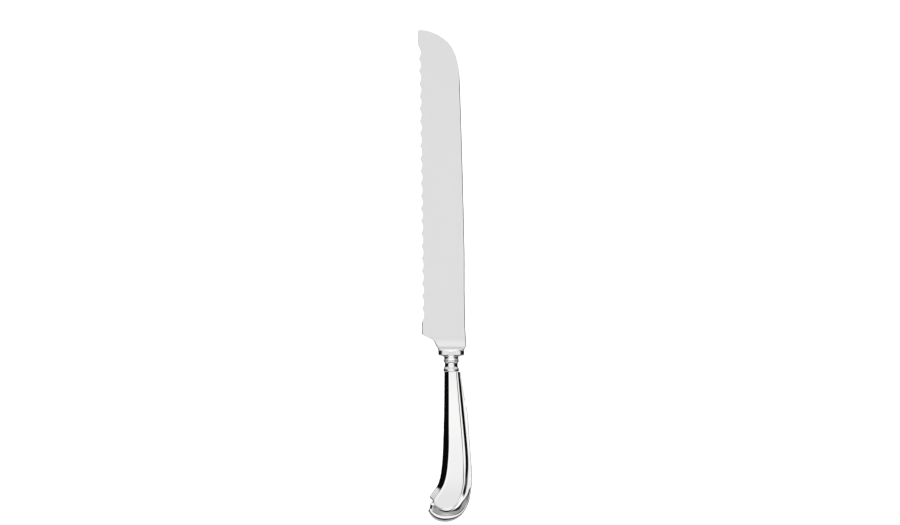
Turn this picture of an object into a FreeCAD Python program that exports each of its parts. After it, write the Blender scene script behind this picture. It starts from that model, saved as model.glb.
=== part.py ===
import FreeCAD, Part
import math
import os

import Sketcher

# Bread knife with a scalloped blade and a pistol-grip hollow handle, lying on its right side.
# +Y runs from the butt to the tip, +Z is up out of the left side of the blade, and the edge
# faces -X.  Each piece is drawn about the neck: the Y axis is the axis of the collar and y = 0
# is the underside of the bolster.  The last step moves the whole knife so that the origin is
# under the middle of its bounding box.

Vector = FreeCAD.Vector

SIZES = (
    ("blade_length", 235.3, "underside of the bolster to the tip"),
    ("spine_thickness", 2.2, "blade at the spine"),
    ("edge_thickness", 1.0, "blade beside the edge, before the scallops are ground"),
    ("tip_edge_offset", 24.1, "collar axis to the edge at the tip"),
    ("heel_edge_offset", 21.2, "collar axis to the edge at the heel"),
    ("tip_spine_offset", 6.9, "collar axis to the spine where the tip curve starts"),
    ("heel_spine_offset", 10.7, "collar axis to the spine beside the bolster"),
    ("spine_bow", 0.45, "how far the spine bows out of a straight line"),
    ("tip_sweep", 47.7, "length of the rounded tip"),
    ("tip_corner_radius", 1.2, "corner where the edge meets the tip curve"),
    ("heel_height", 15.8, "underside of the bolster to the lower end of the edge"),
    ("spine_foot", 8.3, "underside of the bolster to the lower end of the spine"),
    ("spine_corner_radius", 0.45, "rounded corners of the spine"),
    ("plain_heel", 9.7, "unground stretch of edge at the heel"),
    ("plain_tip", 11.7, "unground stretch of edge at the tip"),
    ("scallop_pitch", 9.0, "from one tooth to the next"),
    ("scallop_depth", 1.65, "tooth to gullet, on the left face"),
    ("tooth_inset", 0.35, "teeth inside the line of the plain edge"),
    ("scallop_angle", 12.0, "slope of the ground scallops to the blade"),
    ("bolster_width", 18.5, "bolster across the blade"),
    ("bolster_depth", 10.0, "bolster through the blade"),
    ("bolster_height", 4.3, "straight sides of the bolster"),
    ("bolster_edge_radius", 0.5, "rounded lower edge of the bolster"),
    ("root_radius", 18.0, "hollow between the blade face and the bolster"),
    ("root_start", 14.4, "where that hollow leaves the blade face"),
    ("tang_length", 62.0, "underside of the bolster to the end of the tang"),
    ("tang_width", 4.8, "tang at the bolster"),
    ("tang_end_width", 3.4, "tang at its end"),
    ("tang_thickness", 3.0, "tang through the blade"),
    ("notch_radius", 0.7, "notches in the tang that key it into the cement"),
    ("notch_pitch", 11.0, "from one notch to the next"),
    ("first_notch", 22.0, "underside of the bolster to the first notch"),
    ("collar_length", 10.8, "bolster to handle"),
    ("collar_radius", 5.0, "top of the collar"),
    ("bead_radius", 5.6, "bead round the collar"),
    ("bead_start", 2.3, "top of the bead below the bolster"),
    ("bead_width", 2.3, "bead along the collar"),
    ("waist_radius", 4.45, "narrowest part of the collar"),
    ("lip_width", 2.0, "lip along the collar"),
    ("tang_clearance", 0.27, "between the corners of the tang and the hole in the collar"),
    ("spigot_wall", 0.8, "metal round the hole in the spigot"),
    ("lip_overhang", 1.6, "lip of the collar beyond the spigot"),
    ("bore_radius", "=sqrt(tang_width^2 + tang_thickness^2) / 2 + tang_clearance",
     "hole through the collar for the tang"),
    ("spigot_radius", "=bore_radius + spigot_wall", "spigot that enters the handle"),
    ("lip_radius", "=spigot_radius + lip_overhang", "lip against the handle"),
    ("spigot_length", 4.0, "spigot into the handle"),
    ("spigot_clearance", 0.05, "between the spigot and the mouth of the handle, a side"),
    ("handle_length", 108.2, "mouth to butt"),
    ("handle_width", 31.6, "across the butt"),
    ("panel_height", 7.0, "seam to the flat panel"),
    ("bevel_height", "=panel_height * 0.929", "seam to the foot of the bevel round the panel"),
    ("rim_inner_height", "=panel_height * 0.743", "seam to the inner line of the back moulding"),
    ("rim_outer_height", "=panel_height * 0.671", "seam to the outer line of the back moulding"),
    ("side_height", "=panel_height * 0.543", "seam to the foot of the front facet"),
    ("neck_height", "=lip_radius", "seam to the panel at the mouth"),
    ("taper_length", 50.0, "mouth to where the panel becomes flat"),
    ("shell_wall", 0.8, "thickness of the stamped shells"),
    ("solder_width", 0.7, "solder along the inside of the seam, across the handle"),
    ("solder_height", 1.2, "solder along the inside of the seam, over both shells"),
)

doc = FreeCAD.newDocument("bread_knife")
sheet = doc.addObject("Spreadsheet::Sheet", "sizes")
for row, (alias, value, note) in enumerate(SIZES, 1):
    sheet.set("A%d" % row, note)
    sheet.setAlias("B%d" % row, alias)
for row, (alias, value, note) in enumerate(SIZES, 1):
    sheet.set("B%d" % row, str(value))
doc.recompute()
size = {alias: float(sheet.get(alias)) for alias, value, note in SIZES}

# How far a cutting sketch reaches past the metal that it removes.
OVERCUT = 5.0


# ---------------------------------------------------------------- drawing helpers

def new_body(name):
    """An empty body labelled with the name of its piece."""
    body = doc.addObject("PartDesign::Body", name)
    body.Label = name
    return body


def origin_feature(body, role):
    """An axis or a plane of the body's own origin."""
    return next(item for item in body.Origin.OriginFeatures if item.Role == role)


def new_sketch(body, name, role, height=0.0):
    """A sketch on one of the body's origin planes, or parallel to it at a height."""
    sketch = body.newObject("Sketcher::SketchObject", name)
    sketch.AttachmentSupport = [(origin_feature(body, role), "")]
    sketch.MapMode = "FlatFace"
    sketch.AttachmentOffset = FreeCAD.Placement(Vector(0, 0, height), FreeCAD.Rotation())
    return sketch


def draw(sketch, pieces):
    """Puts curves that run end to end round a loop into a sketch, and joins their ends."""
    first = sketch.GeometryCount
    for piece in pieces:
        sketch.addGeometry(piece, False)
    last = sketch.GeometryCount - 1
    for number in range(first, last + 1):
        following = number + 1 if number < last else first
        pairs = [(sketch.getPoint(number, here).distanceToPoint(sketch.getPoint(following, there)),
                  here, there) for here in (1, 2) for there in (1, 2)]
        gap, here, there = min(pairs)
        sketch.addConstraint(Sketcher.Constraint("Coincident", number, here, following, there))


def polygon(points):
    """Straight edges round a closed list of points."""
    return [Part.LineSegment(points[number - 1], points[number]) for number in range(len(points))]


def spline(points, start=None, end=None):
    """A smooth curve through points, with its direction given at one or both ends."""
    curve = Part.BSplineCurve()
    if start is None or end is None:
        curve.interpolate(points)
    else:
        curve.interpolate(Points=points, InitialTangent=start, FinalTangent=end)
    return curve


def bind(item, settings):
    """Ties properties of a feature to expressions over the sheet."""
    for name, expression in settings.items():
        item.setExpression(name, expression)


def pad(body, name, sketch, expression, midplane=False):
    """A pad along +normal of its sketch, or half each way."""
    feature = body.newObject("PartDesign::Pad", name)
    feature.Profile = sketch
    feature.Midplane = midplane
    bind(feature, {"Length": expression})
    return feature


def pocket(body, name, sketch, expression, midplane=False, reverse=False):
    """A pocket whose removal of metal is checked at once."""
    doc.recompute()
    before = body.Shape.Volume
    feature = body.newObject("PartDesign::Pocket", name)
    feature.Profile = sketch
    feature.Midplane = midplane
    feature.Reversed = reverse
    bind(feature, {"Length": expression})
    doc.recompute()
    if not feature.Shape.Volume < before:
        raise ValueError("%s removes nothing" % name)
    return feature


def pattern(body, name, feature, direction, pitch, count):
    """Copies of a feature in a row along an axis, given as an object and its sub-element."""
    row = body.newObject("PartDesign::LinearPattern", name)
    row.Originals = [feature]
    row.Direction = direction
    row.Length = pitch * (count - 1)
    row.Occurrences = count
    body.Tip = row
    return row


def round_edges(body, name, test, expression):
    """A fillet on the edges of the body that pass a test."""
    doc.recompute()
    base = body.Tip
    names = ["Edge%d" % number for number, edge in enumerate(base.Shape.Edges, 1) if test(edge)]
    feature = body.newObject("PartDesign::Fillet", name)
    feature.Base = (base, names)
    bind(feature, {"Radius": expression})
    doc.recompute()
    return feature


# ---------------------------------------------------------------- blade, bolster and tang

def blade_edge_line():
    """Lower and upper ends of the plain edge line, before any scallop is ground."""
    low = Vector(-size["heel_edge_offset"], size["heel_height"], 0)
    high = Vector(-size["tip_edge_offset"], size["blade_length"] - size["tip_corner_radius"], 0)
    return low, high


def blade_outline():
    """The blank seen on its left face, from the bolster's left side round to its right."""
    half = size["bolster_width"] / 2
    top = size["blade_length"]
    radius = size["tip_corner_radius"]
    low, high = blade_edge_line()
    heel_run = size["heel_edge_offset"] - half
    heel_rise = size["heel_height"] - size["bolster_height"]
    heel_shape = ((0, 0), (0.13, 0.2), (0.27, 0.51), (0.51, 0.77), (1, 1))
    heel = [Vector(-half - heel_run * across, size["bolster_height"] + heel_rise * up, 0)
            for across, up in heel_shape]

    width = size["tip_edge_offset"] + size["tip_spine_offset"]
    corner = Vector(-size["tip_edge_offset"] + radius, top, 0)
    tip_shape = ((0.378, 0.049), (0.658, 0.163), (0.833, 0.317), (0.951, 0.541), (1, 1))
    tip = [corner] + [Vector(-size["tip_edge_offset"] + width * across,
                             top - size["tip_sweep"] * down, 0) for across, down in tip_shape]
    turn = math.sqrt(0.5)
    corner_middle = corner + Vector(-radius * turn, radius * (turn - 1), 0)

    spine_low = Vector(size["heel_spine_offset"], size["spine_foot"], 0)
    spine_middle = (tip[-1] + spine_low) / 2 + Vector(size["spine_bow"], 0, 0)
    spine = Part.Arc(tip[-1], spine_middle, spine_low)
    shoulder = Vector(half, size["bolster_height"], 0)
    down = Vector(0, -1, 0)
    return [
        Part.LineSegment(Vector(-half, 0, 0), heel[0]),
        spline(heel),
        Part.LineSegment(low, high),
        Part.Arc(high, corner_middle, corner),
        spline(tip, Vector(1, 0, 0), spine_low - tip[-1]),
        spine,
        spline([spine_low, shoulder], down, down),
        Part.LineSegment(shoulder, Vector(half, 0, 0)),
        Part.LineSegment(Vector(half, 0, 0), Vector(-half, 0, 0)),
    ]


def face_slope():
    """Tangent of the angle between each ground face and the middle plane of the blade."""
    width = size["heel_spine_offset"] + size["heel_edge_offset"]
    return (size["spine_thickness"] - size["edge_thickness"]) / 2 / width


def face_height(x):
    """Height of the left face over the middle plane, at a place across the blade."""
    return size["spine_thickness"] / 2 - (size["heel_spine_offset"] - x) * face_slope()


def grind_profile():
    """What is ground off one face, seen along X: the hollow above the bolster and the flat."""
    radius = size["root_radius"]
    start = size["root_start"]
    flat = face_height(0)
    top = size["bolster_depth"] / 2 + OVERCUT
    end = size["blade_length"] + OVERCUT
    rise = size["bolster_depth"] / 2 + 1.0 - flat
    foot = Vector(start - math.sqrt(2 * radius * rise - rise ** 2), flat + rise, 0)
    half_turn = math.asin((start - foot.x) / radius) / 2
    middle = Vector(start - radius * math.sin(half_turn),
                    flat + radius * (1 - math.cos(half_turn)), 0)
    points = [Vector(start, flat, 0), Vector(end, flat, 0), Vector(end, top, 0),
              Vector(foot.x, top, 0), foot]
    lines = [Part.LineSegment(points[number], points[number + 1]) for number in range(4)]
    return lines + [Part.Arc(foot, middle, points[0])]


def scallop_count():
    """Whole scallops that fit between the plain heel and the plain tip."""
    room = size["blade_length"] - size["heel_height"] - size["plain_heel"] - size["plain_tip"]
    return int(room / size["scallop_pitch"] + 0.01)


def grind_scallops(body):
    """Hollows ground into the right face, so that only a wavy edge shows on the left face."""
    low, high = blade_edge_line()
    along = (high - low).normalize()
    outward = Vector(-along.y, along.x, 0)
    angle = math.radians(size["scallop_angle"])
    up = Vector(0, 0, 1)
    axis = outward * math.cos(angle) + up * math.sin(angle)
    below = outward * math.sin(angle) - up * math.cos(angle)
    sagitta = size["scallop_depth"] * math.sin(angle)
    radius = ((size["scallop_pitch"] / 2) ** 2 + sagitta ** 2) / (2 * sagitta)
    travel = size["plain_heel"] + size["scallop_pitch"] / 2
    gullet = low + along * travel - outward * (size["tooth_inset"] + size["scallop_depth"])
    gullet.z = face_height(gullet.x)

    sketch = body.newObject("Sketcher::SketchObject", "scallop_circle")
    sketch.AttachmentSupport = [(origin_feature(body, "XY_Plane"), "")]
    sketch.MapMode = "FlatFace"
    turn = FreeCAD.Rotation(along, axis.cross(along), axis, "ZXY")
    sketch.AttachmentOffset = FreeCAD.Placement(gullet + below * radius + axis * OVERCUT, turn)
    sketch.addGeometry(Part.Circle(Vector(), Vector(0, 0, 1), radius), False)
    reach = OVERCUT + 2 * size["edge_thickness"] / math.sin(angle)
    cut = pocket(body, "scallop", sketch, "%.6f mm" % reach)
    pattern(body, "scallops", cut, (sketch, ["H_Axis"]), size["scallop_pitch"], scallop_count())


def make_blade():
    """One stainless forging: the ground blade, the oval bolster and the notched tang."""
    body = new_body("blade")
    outline = new_sketch(body, "blade_outline", "XY_Plane")
    draw(outline, blade_outline())
    pad(body, "blank", outline, "sizes.bolster_depth", midplane=True)

    profile = new_sketch(body, "grind_profile", "YZ_Plane")
    draw(profile, grind_profile())
    grind = pocket(body, "left_grind", profile, "4 * sizes.heel_edge_offset", midplane=True)
    grind.UseCustomVector = True
    grind.Direction = Vector(1, 0, face_slope())
    doc.recompute()
    both = body.newObject("PartDesign::Mirrored", "right_grind")
    both.Originals = [grind]
    both.MirrorPlane = (origin_feature(body, "XY_Plane"), [""])
    body.Tip = both

    oval = new_sketch(body, "bolster_oval", "XZ_Plane")
    wide = size["bolster_width"] / 2
    deep = size["bolster_depth"] / 2
    oval.addGeometry(Part.Ellipse(Vector(wide, 0, 0), Vector(0, deep, 0), Vector()), False)
    far = wide + OVERCUT
    draw(oval, polygon([Vector(-far, -far, 0), Vector(far, -far, 0), Vector(far, far, 0),
                        Vector(-far, far, 0)]))
    pocket(body, "bolster_sides", oval, "sizes.bolster_height")

    def on_foot(edge):
        return edge.BoundBox.YMax < 0.01

    def on_spine(edge):
        return edge.BoundBox.YLength > 0.5 * size["blade_length"] and edge.BoundBox.XMin > 0

    round_edges(body, "bolster_foot", on_foot, "sizes.bolster_edge_radius")
    round_edges(body, "spine_corners", on_spine, "sizes.spine_corner_radius")
    grind_scallops(body)

    tang = new_sketch(body, "tang_outline", "XY_Plane")
    draw(tang, tang_outline())
    pad(body, "tang", tang, "sizes.tang_thickness", midplane=True)
    notches = new_sketch(body, "notch_circles", "XY_Plane")
    depth = size["first_notch"]
    while depth < size["tang_length"] - size["notch_radius"] * 2:
        for side in (-1, 1):
            centre = Vector(side * tang_half_width(depth), -depth, 0)
            notches.addGeometry(Part.Circle(centre, Vector(0, 0, 1), size["notch_radius"]), False)
        depth += size["notch_pitch"]
    pocket(body, "notches", notches, "2 * sizes.tang_thickness", midplane=True)
    return body


def tang_half_width(depth):
    """Half of the tang's width at a depth below the bolster."""
    share = depth / size["tang_length"]
    return (size["tang_width"] + share * (size["tang_end_width"] - size["tang_width"])) / 2


def tang_outline():
    """The tang seen on its flat side, reaching a little way up into the bolster."""
    root = size["bolster_edge_radius"] * 2
    wide = tang_half_width(0)
    narrow = tang_half_width(size["tang_length"])
    return polygon([Vector(-wide, root, 0), Vector(-narrow, -size["tang_length"], 0),
                    Vector(narrow, -size["tang_length"], 0), Vector(wide, root, 0)])


# ---------------------------------------------------------------- collar

def make_collar():
    """The turned collar: top, bead, waist, lip, and the spigot inside the handle's mouth."""
    body = new_body("collar")
    top = size["collar_radius"]
    waist = size["waist_radius"]
    lip = size["lip_radius"]
    bead_low = size["bead_start"] + size["bead_width"]
    lip_top = size["collar_length"] - size["lip_width"]
    waist_depth = (bead_low + lip_top) / 2
    end = size["collar_length"] + size["spigot_length"]
    corners = [
        Vector(top, 0, 0),
        Vector(top, -size["bead_start"], 0),
        Vector(top, -bead_low, 0),
        Vector(lip, -lip_top, 0),
        Vector(lip, -size["collar_length"], 0),
        Vector(size["spigot_radius"], -size["collar_length"], 0),
        Vector(size["spigot_radius"], -end, 0),
        Vector(size["bore_radius"], -end, 0),
        Vector(size["bore_radius"], 0, 0),
    ]
    bead_middle = Vector(size["bead_radius"], -(size["bead_start"] + bead_low) / 2, 0)
    curved = {1: bead_middle, 2: Vector(waist, -waist_depth, 0)}
    pieces = []
    for number, corner in enumerate(corners):
        following = corners[(number + 1) % len(corners)]
        if number in curved:
            pieces.append(Part.Arc(corner, curved[number], following))
        else:
            pieces.append(Part.LineSegment(corner, following))
    sketch = new_sketch(body, "collar_profile", "XY_Plane")
    draw(sketch, pieces)
    turned = body.newObject("PartDesign::Revolution", "turned_collar")
    turned.Profile = sketch
    turned.ReferenceAxis = (origin_feature(body, "Y_Axis"), [""])
    turned.Angle = 360
    return body


# ---------------------------------------------------------------- handle

# Lines of the handle on its side view.  Each point is a share of the handle's length down from
# the mouth and a share of its width across from the axis of the collar.
FRONT = ((0, -0.150), (0.19, -0.155), (0.39, -0.169), (0.589, -0.197),
         (0.722, -0.266), (0.788, -0.397), (0.834, -0.499))
PANEL_FRONT = ((0, 0.017), (0.19, -0.042), (0.39, -0.065), (0.589, -0.078),
               (0.722, -0.142), (0.788, -0.250), (0.855, -0.374))
BACK = ((0, 0.207), (0.15, 0.285), (0.256, 0.361), (0.389, 0.402), (0.522, 0.434),
        (0.655, 0.467), (0.722, 0.474), (0.788, 0.4525), (0.855, 0.408), (0.921, 0.320),
        (0.975, 0.146), (1.0, -0.095), (0.993, -0.301), (0.961, -0.459), (0.925, -0.525))
RIM_OUTER = ((0, 0.196), (0.256, 0.350), (0.389, 0.383), (0.589, 0.427), (0.722, 0.444),
             (0.828, 0.405), (0.882, 0.342), (0.935, 0.212), (0.959, -0.095),
             (0.948, -0.323), (0.910, -0.487))
RIM_INNER = ((0, 0.189), (0.19, 0.244), (0.456, 0.330), (0.655, 0.369), (0.775, 0.340),
             (0.855, 0.253), (0.915, 0.087), (0.932, -0.095), (0.923, -0.255),
             (0.900, -0.380), (0.881, -0.472))
BEVEL_FOOT = ((0, 0.141), (0.19, 0.203), (0.456, 0.289), (0.655, 0.323), (0.775, 0.289),
              (0.855, 0.196), (0.903, 0.063), (0.925, -0.095), (0.916, -0.255),
              (0.893, -0.370), (0.869, -0.394))
CREASE = ((0, 0.109), (0.19, 0.165), (0.456, 0.239), (0.655, 0.269), (0.775, 0.248),
          (0.855, 0.155), (0.882, 0.098), (0.910, -0.095), (0.902, -0.256),
          (0.882, -0.345), (0.867, -0.378))
NOTCH = (0.867, -0.415)
RIM_END = (0.890, -0.500)

# Over the neck, the first share of its length, the handle's width goes by the collar's lip.
NECK_SHARE = 0.4
LIP_SHARE = 0.174


def on_handle(shares):
    """A place on the handle's side view."""
    down, across = shares
    blend = min(1.0, down / NECK_SHARE)
    width = size["handle_width"] * blend + size["lip_radius"] / LIP_SHARE * (1 - blend)
    return Vector(width * across, -size["collar_length"] - size["handle_length"] * down, 0)


def between(outer, inner, share):
    """A line of the front facet, part of the way from its outer to its inner line."""
    return [on_handle(a) + (on_handle(b) - on_handle(a)) * share for a, b in zip(outer, inner)]


def inset(points, distance):
    """Points moved square to their line, to the left of its direction if distance is positive."""
    moved = []
    for number, point in enumerate(points):
        before = points[max(number - 1, 0)]
        after = points[min(number + 1, len(points) - 1)]
        ahead = (after - before).normalize()
        moved.append(point + Vector(-ahead.y, ahead.x, 0) * distance)
    return moved


# The height of each level, its line along the back, and the ends of the line at the notch.
LEVELS = (
    (None, BACK, NOTCH, RIM_END),
    ("side_height", BACK, NOTCH, RIM_END),
    ("rim_outer_height", RIM_OUTER, NOTCH, RIM_END),
    ("rim_inner_height", RIM_INNER, NOTCH, None),
    ("bevel_height", BEVEL_FOOT, (0.862, -0.385), None),
    ("panel_height", CREASE, (0.861, -0.377), None),
)


def level_outline(height, back_shares, notch_shares, end_shares):
    """The outline of one shell at a height over the seam, from the mouth round and back."""
    share = 0.0
    if height:
        facet_rise = size["panel_height"] - size["side_height"]
        share = (size[height] - size["side_height"]) / facet_rise
    front = between(FRONT, PANEL_FRONT, share)
    back = [on_handle(shares) for shares in back_shares]
    notch = on_handle(notch_shares)
    if end_shares:
        end = Part.Arc(notch, on_handle(end_shares), back[-1])
    else:
        end = Part.LineSegment(notch, back[-1])
    return [Part.LineSegment(back[0], front[0]), spline(front),
            Part.LineSegment(front[-1], notch), end, spline(back[::-1])]


def stack(body, name, kind, side, outlines):
    """A ruled loft through outlines at rising heights, above or below the seam."""
    sketches = []
    for number, (height, pieces) in enumerate(outlines):
        sketch = new_sketch(body, "%s_%d" % (name, number), "XY_Plane")
        if height:
            bind(sketch, {"AttachmentOffset.Base.z": "%d * (%s)" % (side, height)})
        draw(sketch, pieces)
        sketches.append(sketch)
    loft = body.newObject(kind, name)
    loft.Profile = sketches[0]
    loft.Sections = sketches[1:]
    loft.Ruled = True
    return loft


def cavity_lines(front_shares, back_shares, margin):
    """Two lines inside those of the handle, cut off at the end of the spigot."""
    front = inset([on_handle(shares) for shares in front_shares], margin)
    back = inset([on_handle(shares) for shares in back_shares], -margin)
    mouth = -size["collar_length"] - size["spigot_length"]
    for line in (front, back):
        line[0].y = min(line[0].y, mouth)
    return front, back


def cavity_outline(front_shares, back_shares, margin):
    """The closed line of the hollow at one level."""
    front, back = cavity_lines(front_shares, back_shares, margin)
    return [Part.LineSegment(back[0], front[0]), spline(front),
            Part.LineSegment(front[-1], back[-1]), spline(back[::-1])]


# The hollow at the seam stops short of the notch and the free end of the rim.
SEAM_LINES = (FRONT[:6], BACK[:13])


def hollow_levels():
    """The hollow of one shell, from the seam up to the underside of the flat panel."""
    wall = size["shell_wall"]
    return [
        ("sizes.solder_height / 2", cavity_outline(*SEAM_LINES, wall)),
        ("sizes.side_height - sizes.shell_wall", cavity_outline(FRONT[:6], RIM_OUTER[:10], wall)),
        ("sizes.panel_height - sizes.shell_wall",
         cavity_outline(PANEL_FRONT[3:6], CREASE[2:8], wall)),
    ]


def make_shell(name, side):
    """One stamped half of the handle: side is 1 for the left shell and -1 for the right."""
    body = new_body(name)
    stack(body, "outside", "PartDesign::AdditiveLoft", side,
          [("sizes.%s" % level[0] if level[0] else None, level_outline(*level))
           for level in LEVELS])

    profile = new_sketch(body, "taper_profile", "YZ_Plane")
    mouth = Vector(-size["collar_length"] + OVERCUT, side * size["neck_height"], 0)
    flat = Vector(-size["collar_length"] - size["taper_length"], side * size["panel_height"], 0)
    start = Vector(-size["collar_length"], side * size["neck_height"], 0)
    rise = (size["panel_height"] - size["neck_height"]) / 4
    middle = (start + flat) / 2 + Vector(0, side * rise, 0)
    high = side * (size["panel_height"] + OVERCUT)
    draw(profile, [Part.LineSegment(mouth, start), Part.Arc(start, middle, flat),
                   Part.LineSegment(flat, Vector(flat.x, high, 0)),
                   Part.LineSegment(Vector(flat.x, high, 0), Vector(mouth.x, high, 0)),
                   Part.LineSegment(Vector(mouth.x, high, 0), mouth)])
    pocket(body, "taper", profile, "2 * sizes.handle_width", midplane=True)

    hollow = [(None, cavity_outline(*SEAM_LINES, size["shell_wall"]))] + hollow_levels()
    stack(body, "hollow", "PartDesign::SubtractiveLoft", side, hollow)
    doc.recompute()
    mouth_circle = new_sketch(body, "mouth_circle", "XZ_Plane")
    bind(mouth_circle, {"AttachmentOffset.Base.z": "sizes.collar_length - %d" % OVERCUT})
    radius = size["spigot_radius"] + size["spigot_clearance"]
    mouth_circle.addGeometry(Part.Circle(Vector(), Vector(0, 0, 1), radius), False)
    pocket(body, "mouth", mouth_circle, "sizes.spigot_length + %d" % (OVERCUT + 1), reverse=True)
    return body


def seam_strip(body, name):
    """A sketch of the solder: a strip inside the seam, open at the collar's spigot."""
    wall = size["shell_wall"]
    front, back = cavity_lines(*SEAM_LINES, wall)
    inner_front, inner_back = cavity_lines(*SEAM_LINES, wall + size["solder_width"])
    sketch = new_sketch(body, name, "XY_Plane")
    draw(sketch, [
        Part.LineSegment(front[0], inner_front[0]), spline(inner_front),
        Part.LineSegment(inner_front[-1], inner_back[-1]), spline(inner_back[::-1]),
        Part.LineSegment(inner_back[0], back[0]), spline(back),
        Part.LineSegment(back[-1], front[-1]), spline(front[::-1]),
    ])
    return sketch


def make_solder():
    """Hard solder along the inside of the seam."""
    body = new_body("seam_solder")
    outline = seam_strip(body, "solder_outline")
    pad(body, "solder_strip", outline, "sizes.solder_height", midplane=True)
    return body


def make_cement():
    """Cement that fills the handle and the collar round the tang."""
    body = new_body("handle_cement")
    upper = hollow_levels()
    lower = [("-(%s)" % height, pieces) for height, pieces in hollow_levels()]
    stack(body, "filling", "PartDesign::AdditiveLoft", 1, lower[::-1] + upper)
    circle = new_sketch(body, "bore_circle", "XZ_Plane")
    circle.addGeometry(Part.Circle(Vector(), Vector(0, 0, 1), size["bore_radius"]), False)
    pad(body, "collar_filling", circle, "sizes.collar_length + sizes.spigot_length + 1")
    tang = new_sketch(body, "tang_hole", "XY_Plane")
    draw(tang, tang_outline())
    pocket(body, "tang_space", tang, "sizes.tang_thickness", midplane=True)
    strip = seam_strip(body, "solder_hole")
    pocket(body, "solder_space", strip, "sizes.solder_height", midplane=True)
    return body


# ---------------------------------------------------------------- assembly

pieces = [
    make_blade(),
    make_collar(),
    make_shell("handle_shell_left", 1),
    make_shell("handle_shell_right", -1),
    make_solder(),
    make_cement(),
]
doc.recompute()

box = FreeCAD.BoundBox()
for piece in pieces:
    box.add(piece.Shape.optimalBoundingBox(False, False))
for piece in pieces:
    piece.Placement = FreeCAD.Placement(Vector(-box.Center.x, -box.Center.y, -box.ZMin),
                                        FreeCAD.Rotation())
doc.recompute()

for item in doc.Objects:
    if "Invalid" in item.State or "Error" in item.State:
        raise ValueError("%s: %s" % (item.Name, item.State))
for piece in pieces:
    if piece.Shape.isNull() or not piece.Shape.isValid():
        raise ValueError("%s has no valid shape" % piece.Label)
    if len(piece.Shape.Solids) != 1:
        raise ValueError("%s has %d solids" % (piece.Label, len(piece.Shape.Solids)))

os.makedirs("parts", exist_ok=True)
for piece in pieces:
    piece.Shape.exportStep("parts/%s.step" % piece.Label)
    size_text = " x ".join("%.2f" % length for length in (
        piece.Shape.BoundBox.XLength, piece.Shape.BoundBox.YLength, piece.Shape.BoundBox.ZLength))
    print("%-20s %9.1f mm3  %s" % (piece.Label, piece.Shape.Volume, size_text))
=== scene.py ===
import bmesh
import bpy
import math
import numpy as np
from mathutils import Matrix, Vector


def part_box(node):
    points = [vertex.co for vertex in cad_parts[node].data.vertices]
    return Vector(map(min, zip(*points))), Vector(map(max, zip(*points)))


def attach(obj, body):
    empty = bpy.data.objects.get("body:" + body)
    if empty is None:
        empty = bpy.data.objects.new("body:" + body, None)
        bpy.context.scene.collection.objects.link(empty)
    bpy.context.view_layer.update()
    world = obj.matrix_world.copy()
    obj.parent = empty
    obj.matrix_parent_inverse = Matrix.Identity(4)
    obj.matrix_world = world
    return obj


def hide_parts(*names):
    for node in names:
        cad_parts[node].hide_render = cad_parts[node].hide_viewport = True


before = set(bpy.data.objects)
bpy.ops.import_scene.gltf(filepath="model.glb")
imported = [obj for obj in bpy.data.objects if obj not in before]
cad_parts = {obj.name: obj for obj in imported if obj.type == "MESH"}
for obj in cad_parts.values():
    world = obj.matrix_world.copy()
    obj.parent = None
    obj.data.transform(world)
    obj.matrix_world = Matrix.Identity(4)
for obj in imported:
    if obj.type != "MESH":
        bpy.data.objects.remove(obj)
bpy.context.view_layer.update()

MM = 0.001

# The collar is round and its top touches the bolster, so its box gives the neck of the knife.
COLLAR_LOW, COLLAR_HIGH = (Vector(corner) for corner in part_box("collar"))
NECK = Vector(((COLLAR_LOW.x + COLLAR_HIGH.x) / 2, COLLAR_HIGH.y, (COLLAR_LOW.z + COLLAR_HIGH.z) / 2))


def place(x, y, z=0.0):
    """A point given in millimetres from the neck, in the scene's metres."""
    return NECK + Vector((x, y, z)) * MM


# ---------------------------------------------------------------- studio

# The world's light is keyed on direction: z is 1 straight up, and north is towards the tip.
# Each band is a smooth step: from, to, and where given the brightness at both ends.
OVERHEAD = (0.52, 0.68)
OFF_AXIS = (0.995, 0.93, 1.0, 1.09)
SOUTH_SHADE = (0.02, 0.14, 0.0, 0.16)
SOUTH_SHADE_END = (0.34, 0.20)
NORTH_SHADE = (0.03, 0.12, 0.0, 0.09)
NORTH_SHADE_END = (0.52, 0.36)
NORTH_AROUND = (0.43, 0.48)
NORTH_LIGHT = (0.45, 0.10, 0.60, 0.80)
GLINT_AROUND = (0.80, 0.95)
GLINT = (0.50, 0.38, 0.0, 0.70)
SOUTH_AROUND = (-0.38, -0.53)
SOUTH_HIGH = (0.46, 0.36, 0.0, 0.36)
SOUTH_MIDDLE = (0.24, -0.12, 0.0, 0.38)
SOUTH_LOW = (-0.20, -0.60, 0.0, 0.38)
SOUTH_END = (-0.86, -0.72)
DARKEST = 0.003

FLOOR_HALF = 3.0
LAMP_SIZE = 3.0
LAMP_POWER = 130
LAMP_HEIGHT = 2.4
CAMERA_LENS = 120
CAMERA_SPOT = (-0.864, 67.68)
CAMERA_HEIGHT = 2.16


def add_node(tree, kind, **settings):
    node = tree.nodes.new(kind)
    for name, value in settings.items():
        setattr(node, name, value)
    return node


def math_node(tree, operation, *values):
    """A math node whose inputs are numbers or sockets."""
    node = add_node(tree, "ShaderNodeMath", operation=operation)
    for number, value in enumerate(values):
        if hasattr(value, "links"):
            tree.links.new(value, node.inputs[number])
        else:
            node.inputs[number].default_value = value
    return node.outputs[0]


def ramp_between(tree, value, low, high, low_out=0.0, high_out=1.0):
    """A smooth step of a socket from low to high."""
    node = add_node(tree, "ShaderNodeMapRange", interpolation_type="SMOOTHSTEP")
    tree.links.new(value, node.inputs["Value"])
    node.inputs["From Min"].default_value = low
    node.inputs["From Max"].default_value = high
    node.inputs["To Min"].default_value = low_out
    node.inputs["To Max"].default_value = high_out
    return node.outputs["Result"]


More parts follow.
